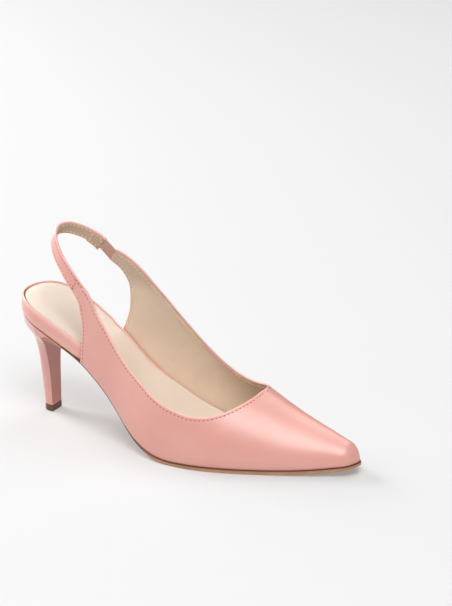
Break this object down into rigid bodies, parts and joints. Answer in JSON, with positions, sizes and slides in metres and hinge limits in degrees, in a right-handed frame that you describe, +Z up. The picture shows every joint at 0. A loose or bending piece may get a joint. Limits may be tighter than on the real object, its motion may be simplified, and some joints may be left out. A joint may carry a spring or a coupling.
{
  "type": "slingback pump",
  "caption": "Pointed slingback pump with a slim high heel, open quarters, a strap round the heel and a short elastic.",
  "frame": {"origin": "centre of the top piece's ground face under the heel", "axes": "+X to the toe, +Y to the medial side (inner ankle), +Z up"},
  "size_m": [0.2438, 0.081, 0.1308],
  "materials": {
    "leather": "smooth, semi-matt",
    "heel_wrap": "smooth, semi-matt",
    "rim_wrap": "smooth, semi-matt",
    "strap_leather": "smooth, semi-matt",
    "sock_lining": "matt",
    "sole": "matt",
    "top_piece": "matt",
    "elastic": "woven"
  },
  "bodies": {
    "root": {"outsole": "sole", "insole": "rim_wrap", "sock": "sock_lining", "upper": "leather", "heel": "heel_wrap", "top_piece": "top_piece", "sling_strap": "strap_leather", "elastic": "elastic"}
  },
  "joints": []
}
